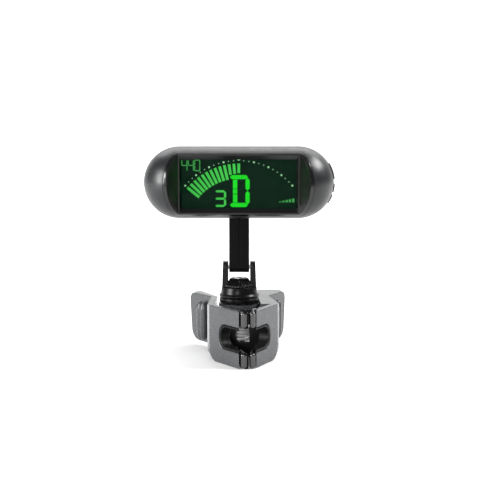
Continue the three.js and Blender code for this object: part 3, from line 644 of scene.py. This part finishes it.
def stem():
    """A flat bar with round ends and a fine line down the middle of both faces."""
    outline = [*arc((0, STEM_HIGH), STEM_RADIUS, 0, 180, 28),
               *arc((0, STEM_LOW), STEM_RADIUS, 180, 360, 28)]
    body = prism("X", outline, (-STEM_HALF, STEM_HALF))
    lines = [box((-0.16, 0.16), sorted((face * (STEM_RADIUS - 0.2), face * 4)), (33, 50.6))
             for face in (-1, 1)]
    holes = [rod("X", PIN_HOLE, (-10, 10), (0, z)) for z in (STEM_LOW, STEM_HIGH)]
    return cut(body, *lines, *holes)


def swivel_hub():
    disc = turned([(6.6, 18.6), (6.87, 18.85), (6.87, 20.2), (6.65, 20.4)], 128)
    return cut(disc, rod("Z", 5.0, (19.6, 30), sides=96), rod("Z", SCREW_HOLE, (0, 30)))


def tilt_screw():
    head = join(rod("X", PIN, (-5.5, 5.2), (0, STEM_LOW), 32),
                rod("X", 1.35, (5.1, 5.7), (0, STEM_LOW), 48))
    return cut(head, box((5.45, 10), (-0.9, 0.9), (STEM_LOW - 0.2, STEM_LOW + 0.2)))


def build_swivel():
    piece("swivel_fork_body", swivel_fork(), SWIVEL, "black_plastic", "fork", ["swivel_fork"], 0.22)
    piece("ribbed_cone_body", ribbed_cone(), SWIVEL, "black_plastic", "fork", ["ribbed_cone"], smooth=50)
    piece("swivel_screw_body", swivel_screw(), SWIVEL, "steel", "fork", ["swivel_screw"], 0.06)
    piece("tilt_screw_body", tilt_screw(), SWIVEL, "steel", "fork", ["tilt_screw"], 0.08)
    piece("stem_bar", stem(), SWIVEL, "black_plastic", "stem", ["stem"], 0.22, looks="stem_plastic")
    piece("swivel_hub_disc", swivel_hub(), SWIVEL, "black_plastic", "clip", ["swivel_hub"], 0.08)


# ---------------------------------------------------------------- clip

TIP, ELBOW, JUNCTION, HANDLE_END = (3.2, -23.1), (12.45, -7.9), (10.35, 8.7), (17.65, 20.15)
# ELBOW_HIGHLIGHT: how far the painted highlight at the elbow reaches
LEFT_TIP, ELBOW_RADIUS, ELBOW_HIGHLIGHT = 2.6, 2.5, 0.4
RUN = [Vector(point) for point in (TIP, ELBOW, JUNCTION, HANDLE_END)]
HEIGHT, WALL, PLATE = 19.2, 2.3, 2.3
PIVOT = (-CLIP_SHIFT * math.cos(CLIP_TURN), CLIP_SHIFT * math.sin(CLIP_TURN))
LEFT_PIVOT = (-PIVOT[0], PIVOT[1])  # the same axis in the mirrored half
WINDOW_Z, WINDOW_CORNER, WINDOW_ROUND, WINDOW_BULGE = (5.2, 13.7), 7.7, 1.4, 3.35
FOOT, FOOT_RADIUS, TOP_RADIUS, LEAN = 1.8, 4.6, 2.6, 0.9
NOSES = {1: (0.9, 2.9), -1: (-0.6, 2.3)}  # from the middle, on the right and on the left
PAD_FRONT, PAD_BACK = WALL + 0.3, WALL + 1.5
NOSE_TIP, NOSE_RIM = -24.357, 0.8
CROSS_WALL_TOP = 16.6
SPRING_FOOT, SPRING_TURNS, SPRING_PITCH = 5.8, 3.25, 1.16
SPRING_RADIUS, SPRING_WIRE = 3.85, 0.52
MIRROR = Matrix.Diagonal((-1, 1, 1, 1))


def inward(point, a, b, distance):
    """The point moved square to the run from a to b, towards the middle of the clip."""
    along = (b - a).normalized()
    return point + Vector((-along.y, along.x)) * distance


def inner_corner(k, distance):
    """Where the faces of two neighbouring runs meet, a distance behind the outer face."""
    a, b, c = RUN[k - 1:k + 2]
    p, r = inward(a, a, b, distance), inward(b, b, c, distance)
    u, v, w = b - a, c - b, r - p
    return p + u * ((w.x * v.y - w.y * v.x) / (u.x * v.y - u.y * v.x))


def inner_at_x(distance, x):
    """The point at x on the panel's face a distance behind its outer one."""
    a, b = (inward(point, RUN[0], RUN[1], distance) for point in RUN[:2])
    return Vector((x, a.y + (x - a.x) / (b.x - a.x) * (b.y - a.y)))


def wall_face(distance, tip_x):
    return [inner_at_x(distance, tip_x), inner_corner(1, distance), inner_corner(2, distance),
            inward(RUN[3], RUN[2], RUN[3], distance)]


def seen_across(a, b, outline, depth):
    """A prism square to the upright plane through a and b; the outline is (along from a, up)."""
    along = (b - a).normalized()
    upright = Matrix(((along.x, 0, along.y, a.x), (along.y, 0, -along.x, a.y),
                      (0, 1, 0, 0), (0, 0, 0, 1)))
    return moved(prism("Z", outline, (-depth, depth)), upright)


def jaw_window(inset=0.0):
    """The jaw's window: open at the tip, with a bulging end towards the elbow."""
    low, high = WINDOW_Z[0] + inset, WINDOW_Z[1] - inset
    stretch = (RUN[1] - RUN[0]).length / (RUN[1].x - RUN[0].x)
    corner = (RUN[1].x - WINDOW_CORNER) * stretch + inset
    start, bulge = corner + WINDOW_ROUND, corner - WINDOW_BULGE
    curve = []
    for i in range(25):
        t = i / 24
        ends, middle = (1 - t) ** 3 + t ** 3, 3 * t * (1 - t)
        curve.append((ends * start + middle * bulge, high + (low - high) * (3 * t * t - 2 * t ** 3)))
    return seen_across(RUN[1], RUN[0], [(40, low), (40, high), *curve], 8)


def elbow_corner():
    """What is cut off under the elbow, up a curve to the panel's underside."""
    along, up, bend = 4.6, 5.2, 1.1
    curve = [((1 - t) ** 2 * along + 2 * t * (1 - t) * bend, 2 * t * (1 - t) * bend + t * t * up)
             for t in (i / 12 for i in range(13))]
    return seen_across(RUN[1], RUN[0], [(-20, -1), (along, -1), *curve, (-3, FOOT), (-20, FOOT)], 8)


def handle_corners():
    """What is cut off the end of a handle to make its corners round."""
    length = (RUN[3] - RUN[2]).length
    foot_end = length - LEAN
    low = [(foot_end - FOOT_RADIUS, FOOT - 1), (length + 3, FOOT - 1), (length + 3, HEIGHT - TOP_RADIUS),
           (length, HEIGHT - TOP_RADIUS),
           *arc((foot_end - FOOT_RADIUS, FOOT + FOOT_RADIUS), FOOT_RADIUS, 0, -90, 14)]
    high = [(length + 3, HEIGHT - TOP_RADIUS), (length + 3, HEIGHT + 1),
            (length - TOP_RADIUS, HEIGHT + 1),
            *arc((length - TOP_RADIUS, HEIGHT - TOP_RADIUS), TOP_RADIUS, 90, 0, 8)]
    return [seen_across(RUN[2], RUN[3], outline, 30) for outline in (low, high)]


def finger_grooves():
    """Shallow upright grooves with round ends in the handle's outer face."""
    along = (RUN[3] - RUN[2]).normalized()
    handle = Matrix(((along.x, along.y, 0, RUN[2].x), (along.y, -along.x, 0, RUN[2].y),
                     (0, 0, 1, 0), (0, 0, 0, 1)))
    radius, depth, low, high = 1.5, 0.2, FOOT + 1.2, HEIGHT - 2.2
    first, apart, bend = 2.9, 2.0, 1.2
    ends = [(radius * math.sin(math.radians(a)), 2.2 * radius * (1 - math.cos(math.radians(a))))
            for a in range(0, 91, 10)]
    profile = [(r, low + z) for r, z in ends] + [(r, high - z) for r, z in reversed(ends)]
    grooves = []
    for i in range(5):
        groove = turned(profile, 48)
        bow = bend * i / 4  # the outer grooves bend with the handle's leaning end
        for vertex in groove.data.vertices:
            rise = (vertex.co.z - FOOT) / HEIGHT
            vertex.co.x += first + apart * i - bow * (1 - rise) ** 2
            vertex.co.y += radius - depth
        grooves.append(moved(groove, handle))
    return grooves


def lever_outline(tip_x):
    """The wall seen from above, with its elbow rounded and its tip square; and the elbow's points."""
    face = wall_face(0, tip_x)
    to_tip, to_handle = ((end - face[1]).normalized() for end in (face[0], face[2]))
    half = to_tip.angle(to_handle) / 2
    middle = face[1] + (to_tip + to_handle).normalized() * (ELBOW_RADIUS / math.sin(half))
    touch = [face[1] + way * (ELBOW_RADIUS / math.tan(half)) for way in (to_tip, to_handle)]
    first, last = (math.degrees(math.atan2(*reversed(point - middle))) for point in touch)
    bend = arc(middle, ELBOW_RADIUS, first, last, 5)
    # the painted highlight's band reaches a little past the bend towards the tip
    corner = [touch[0] + to_tip * ELBOW_HIGHLIGHT, *(Vector(point) for point in bend)]
    outline = (face[0], *corner, *face[2:], *reversed(wall_face(WALL, tip_x)))
    return [tuple(point) for point in outline], corner


def lever_wall(tip_x):
    outline, corner = lever_outline(tip_x)
    wall = finish(prism("Z", outline, (0, HEIGHT)), "lever_plastic")
    for face in wall.data.polygons:  # the elbow's faces take the lighter copy of the plastic, a painted highlight
        place = face.center.xy
        if abs(face.normal.z) < 0.5 and min((place - point).length for point in corner) < ELBOW_HIGHLIGHT:
            face.material_index = 1
    below = box((0, 40), (-3, 40), (-1, FOOT))
    wall = cut(wall, below, elbow_corner(), jaw_window(), *handle_corners())
    return cut(rounded_edges(wall, 0.3, clamp=False), *finger_grooves())


def lug(z, reach, pivot):
    """An arm from the wall that ends in a disc round the pivot."""
    arm = prism("Z", [(pivot[0], -reach), (10.9, -reach), (9.4, reach), (pivot[0], reach)], z)
    return join(arm, rod("Z", 5.0, z, pivot, 96))


def pivot_hole(pivot):
    return rod("Z", 2.05, (-1, 30), pivot)


def right_lever():
    underside = HEIGHT - PLATE
    inner = [tuple(inner_corner(k, 0.4)) for k in (1, 2)]
    plate = prism("Z", [(6.0, -8.7), (9.9, -8.7), *inner, (16.2, 18.6), (15.8, 22.7), (7.6, 23.0),
                        (5.2, 8.6), (PIVOT[0], 6.2), (PIVOT[0], -2.2), (6.0, -2.2)],
                  (underside, HEIGHT))
    seat = rod("Z", 7.17, (underside, HEIGHT - 0.9), PIVOT, 128)
    foot = lug((0, PLATE), 5.6, PIVOT)
    parts = [rounded_edges(part, 0.2) for part in (plate, foot)]
    return cut(join(lever_wall(TIP[0]), *parts, seat), rod("Z", 7.17, (HEIGHT - 0.9, 30), PIVOT, 128),
               pivot_hole(PIVOT), rod("Z", 3.4, (-1, 1.6), PIVOT))


def left_lever():
    ledge = prism("Z", [(8.0, 8.55), (9.6, 8.6), (16.0, 18.8), (15.6, 21.0), (13.5, 22.1)],
                  (HEIGHT - PLATE, HEIGHT))
    lugs = [lug(z, 4.6, LEFT_PIVOT) for z in ((2.6, 4.9), (11.6, 16.3))]
    parts = [rounded_edges(part, 0.2) for part in (ledge, *lugs)]
    return moved(cut(join(lever_wall(LEFT_TIP), *parts), pivot_hole(LEFT_PIVOT)), MIRROR)


def jaw_nose(low, high, side):
    """A rubber nose with a round tip, and its upper and lower rims rounded."""
    inner, outer = NOSES[side]
    radius, rings = (outer - inner) / 2, []
    for end, way in ((low, 1), (high, -1)):
        rims = []
        for k in range(7):
            angle = k / 6 * math.pi / 2
            inset, z = NOSE_RIM * (1 - math.sin(angle)), end + way * NOSE_RIM * (1 - math.cos(angle))
            outline = [(outer - inset, inner_at_x(PAD_BACK, outer).y),
                       (inner + inset, inner_at_x(PAD_FRONT, inner).y),
                       *arc((inner + radius, NOSE_TIP + radius), radius - inset, 180, 360, 24)]
            rims.append([(x, y, z) for x, y in outline])
        rings += rims[::way]
    # the whole nose takes the rubber's glossier copy, whose lighter base is a painted highlight
    return finish(stacked(rings), "jaw_rubber", 1)


def lining_band(near, far, x):
    """The lining behind the panel, between two distances from the panel's outer face."""
    corners = [inner_at_x(near, x), inner_corner(1, near), inner_corner(1, far), inner_at_x(far, x)]
    return prism("Z", [tuple(point) for point in corners], (0.8, HEIGHT - 0.5))


def jaw_pad(side):
    """Rubber lining: two round noses, a skin behind the panel, a rim in its window and a cross wall."""
    outer = NOSES[side][1]
    noses = join(jaw_nose(0.1, WINDOW_Z[0], side), jaw_nose(WINDOW_Z[1], HEIGHT - 0.1, side))
    rim = cut(common(lining_band(0.1, PAD_BACK, -2), jaw_window(0.12)), jaw_window(0.9))
    lining = join(lining_band(PAD_FRONT, PAD_BACK, outer - 1), rounded_edges(rim, 0.36, 4))
    lining = cut(lining, jaw_window(0.9), box((-20, 20), (-9, 0), (CROSS_WALL_TOP, 30)),
                 box((-6, outer + 0.3), (-40, -10), WINDOW_Z))
    reach = -4.6 if side > 0 else 4.9
    elbow = tuple(inner_corner(1, PAD_FRONT))
    wall = prism("Z", [(reach, -7.0), (8.8, -7.3), elbow, (elbow[0] - 0.2, -5.9), (reach, -5.9)],
                 (0.3, CROSS_WALL_TOP))
    if side > 0:
        wall = cut(wall, box((-2.6, 2.2), (-8, -4.9), (5.4, 11.6)))
    pad = join(noses, lining, rounded_edges(wall, 0.2))
    return pad if side > 0 else moved(pad, MIRROR)


def tube(path, radius, sides=16):
    """A round wire along a path of points that turns about the upright axis."""
    verts, faces = [], []
    for i, point in enumerate(path):
        along = (path[min(i + 1, len(path) - 1)] - path[max(i - 1, 0)]).normalized()
        out = Vector((point.x, point.y, 0)) if 0 < i < len(path) - 1 else Vector((along.y, -along.x, 0))
        out = (out - along * out.dot(along)).normalized()
        up = along.cross(out)
        for k in range(sides):
            angle = 2 * math.pi * k / sides
            verts.append(point + radius * (out * math.cos(angle) + up * math.sin(angle)))
        if i:
            faces += [((i - 1) * sides + k, (i - 1) * sides + (k + 1) % sides,
                       i * sides + (k + 1) % sides, i * sides + k) for k in range(sides)]
    faces += [tuple(range(sides)), tuple(range(len(verts) - sides, len(verts)))]
    return new_shape([tuple(v) for v in verts], faces)


def torsion_spring():
    """A coil round the pivot pin whose two ends reach back to the handles."""
    coil, steps = [], 160
    for i in range(steps + 1):
        share = i / steps
        angle = -0.12 * math.pi - share * SPRING_TURNS * 2 * math.pi
        height = SPRING_FOOT + share * SPRING_TURNS * SPRING_PITCH
        coil.append(Vector((SPRING_RADIUS * math.cos(angle), SPRING_RADIUS * math.sin(angle), height)))
    top = SPRING_FOOT + SPRING_TURNS * SPRING_PITCH
    ends = Vector((8.2, 12.4, SPRING_FOOT)), Vector((-8.6, 12.4, top))
    return tube([ends[0], *coil, ends[1]], SPRING_WIRE)


def build_clip():
    levers = (("right_lever", right_lever(), "clip"), ("left_lever", left_lever(), "moving_lever"))
    for name, shape, body in levers:
        piece(f"{name}_body", shape, CLIP, "lever_plastic", body, [name])
    for name, side, body in (("right_jaw_pad", 1, "clip"), ("left_jaw_pad", -1, "moving_lever")):
        piece(f"{name}_rubber", jaw_pad(side), CLIP, "jaw_rubber", body, [name])
    # the spring takes the near-white painted sheen in place of steel
    spring = piece("torsion_spring_coil", torsion_spring(), SWIVEL, "steel", None, ["torsion_spring"],
                   looks="spring_painted_sheen")
    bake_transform(spring)


build_head()
build_display()
build_swivel()
build_clip()


# ---------------------------------------------------------------- stage, lights and camera

FLOOR_FRONT, FLOOR_HALF = -1.6, 3.0
WALL_Y, WALL_TOP, WALL_BEND = 2.4, 2.0, 0.8
FLOOR_DROP = 0.00002  # keeps the floor clear of the face that the tuner stands on
CAMERA_FROM_AXIS = (3.77, -364.6, 80.6)  # millimetres
CAMERA_DOWN, CAMERA_LENS = 6.84, 75.7


def spread_over(nodes, links, value, start, end, low, high):
    """A value that runs from low to high between two places."""
    graded = nodes.new("ShaderNodeMapRange")
    for name, number in (("From Min", start), ("From Max", end), ("To Min", low), ("To Max", high)):
        graded.inputs[name].default_value = number
    links.new(value, graded.inputs["Value"])
    return graded.outputs["Result"]


def floor_paper():
    """Pale paper that glows more with distance from the tuner, a painted shade round it, and fades in front of it,
    a painted shade that the tuner's faces reflect.
    """
    made, nodes, links = material("floor_paper")
    shader = nodes["Principled BSDF"]
    shader.inputs["Roughness"].default_value = 0.9
    shader.inputs["Specular IOR Level"].default_value = 0.0
    shader.inputs["Emission Strength"].default_value = 1.0
    place = nodes.new("ShaderNodeTexCoord")
    across = nodes.new("ShaderNodeSeparateXYZ")
    links.new(place.outputs["Object"], across.inputs["Vector"])
    # painted shade in front: glow and colour fall away towards the front
    front = spread_over(nodes, links, across.outputs["Y"], -0.34, -0.15, 0.04, 1)
    reach = nodes.new("ShaderNodeVectorMath")
    reach.operation = "LENGTH"
    links.new(place.outputs["Object"], reach.inputs[0])
    glow = nodes.new("ShaderNodeMath")
    glow.operation = "MULTIPLY"
    links.new(front, glow.inputs[0])
    # painted shade round the tuner: the glow is lowest close to it
    far = spread_over(nodes, links, reach.outputs["Value"], 0.03, 0.4, 0.15, 0.9)
    links.new(far, glow.inputs[1])
    links.new(ramp(nodes, links, front, (0.2,) * 3, (0.7,) * 3), shader.inputs["Base Color"])
    links.new(glow.outputs["Value"], shader.inputs["Emission Color"])
    return made


def stage():
    """A pale floor that curves up into a pale wall behind."""
    path, steps = [(FLOOR_FRONT, 0.0), (WALL_Y - WALL_BEND, 0.0)], 16
    for i in range(1, steps + 1):
        angle = i / steps * math.pi / 2
        path.append((WALL_Y - WALL_BEND + WALL_BEND * math.sin(angle),
                     WALL_BEND - WALL_BEND * math.cos(angle)))
    path.append((WALL_Y, WALL_TOP))
    verts = [(x, y, z - FLOOR_DROP) for y, z in path for x in (-FLOOR_HALF, FLOOR_HALF)]
    faces = [(i, i + 1, i + 3, i + 2) for i in range(0, len(verts) - 2, 2)]
    mesh = bpy.data.meshes.new("floor")
    mesh.from_pydata(verts, [], faces)
    floor = bpy.data.objects.new("floor", mesh)
    bpy.context.collection.objects.link(floor)
    mesh.shade_smooth()
    mesh.materials.append(floor_paper())


def area_light(name, place, target, size, power):
    """A rectangular light at a place, turned to its target."""
    data = bpy.data.lights.new(name, "AREA")
    data.shape = "RECTANGLE"
    data.size, data.size_y = size
    data.energy = power
    light = bpy.data.objects.new(name, data)
    light.location = place
    light.rotation_euler = (Vector(target) - Vector(place)).to_track_quat("-Z", "Y").to_euler()
    bpy.context.collection.objects.link(light)


def lights():
    middle = (0, 0, 0.045)
    area_light("top_back", (0, 0.5, 0.72), middle, (1.1, 0.5), 6)
    area_light("left_softbox", (-0.69, -0.36, 0.24), middle, (0.36, 0.4), 9)
    area_light("right_softbox", (0.58, 0.05, 0.6), middle, (0.36, 0.28), 8)
    area_light("front_top", (-0.05, -0.6, 0.62), middle, (0.25, 0.18), 0.7)
    area_light("jaw_light", (-0.1, -0.48, 0.09), (0, 0, 0.01), (0.06, 0.06), 0.5)
    world = bpy.data.worlds.new("studio")
    bpy.context.scene.world = world
    world.use_nodes = True
    background = world.node_tree.nodes["Background"]
    background.inputs["Color"].default_value = (1, 1, 1, 1)
    background.inputs["Strength"].default_value = 0.2


def camera():
    """The photograph's view: a little above the display, from far in front."""
    data = bpy.data.cameras.new("camera")
    data.sensor_width = 36
    data.lens = CAMERA_LENS
    eye = bpy.data.objects.new("camera", data)
    aside, back, high = (value * MM for value in CAMERA_FROM_AXIS)
    eye.location = (AXIS.x + aside, AXIS.y + back, high)
    eye.rotation_euler = (math.radians(90 - CAMERA_DOWN), 0, 0)
    data.clip_start, data.clip_end = 0.01, 20
    bpy.context.collection.objects.link(eye)
    bpy.context.scene.camera = eye
    bpy.context.scene.view_settings.view_transform = "Standard"


stage()
lights()
camera()
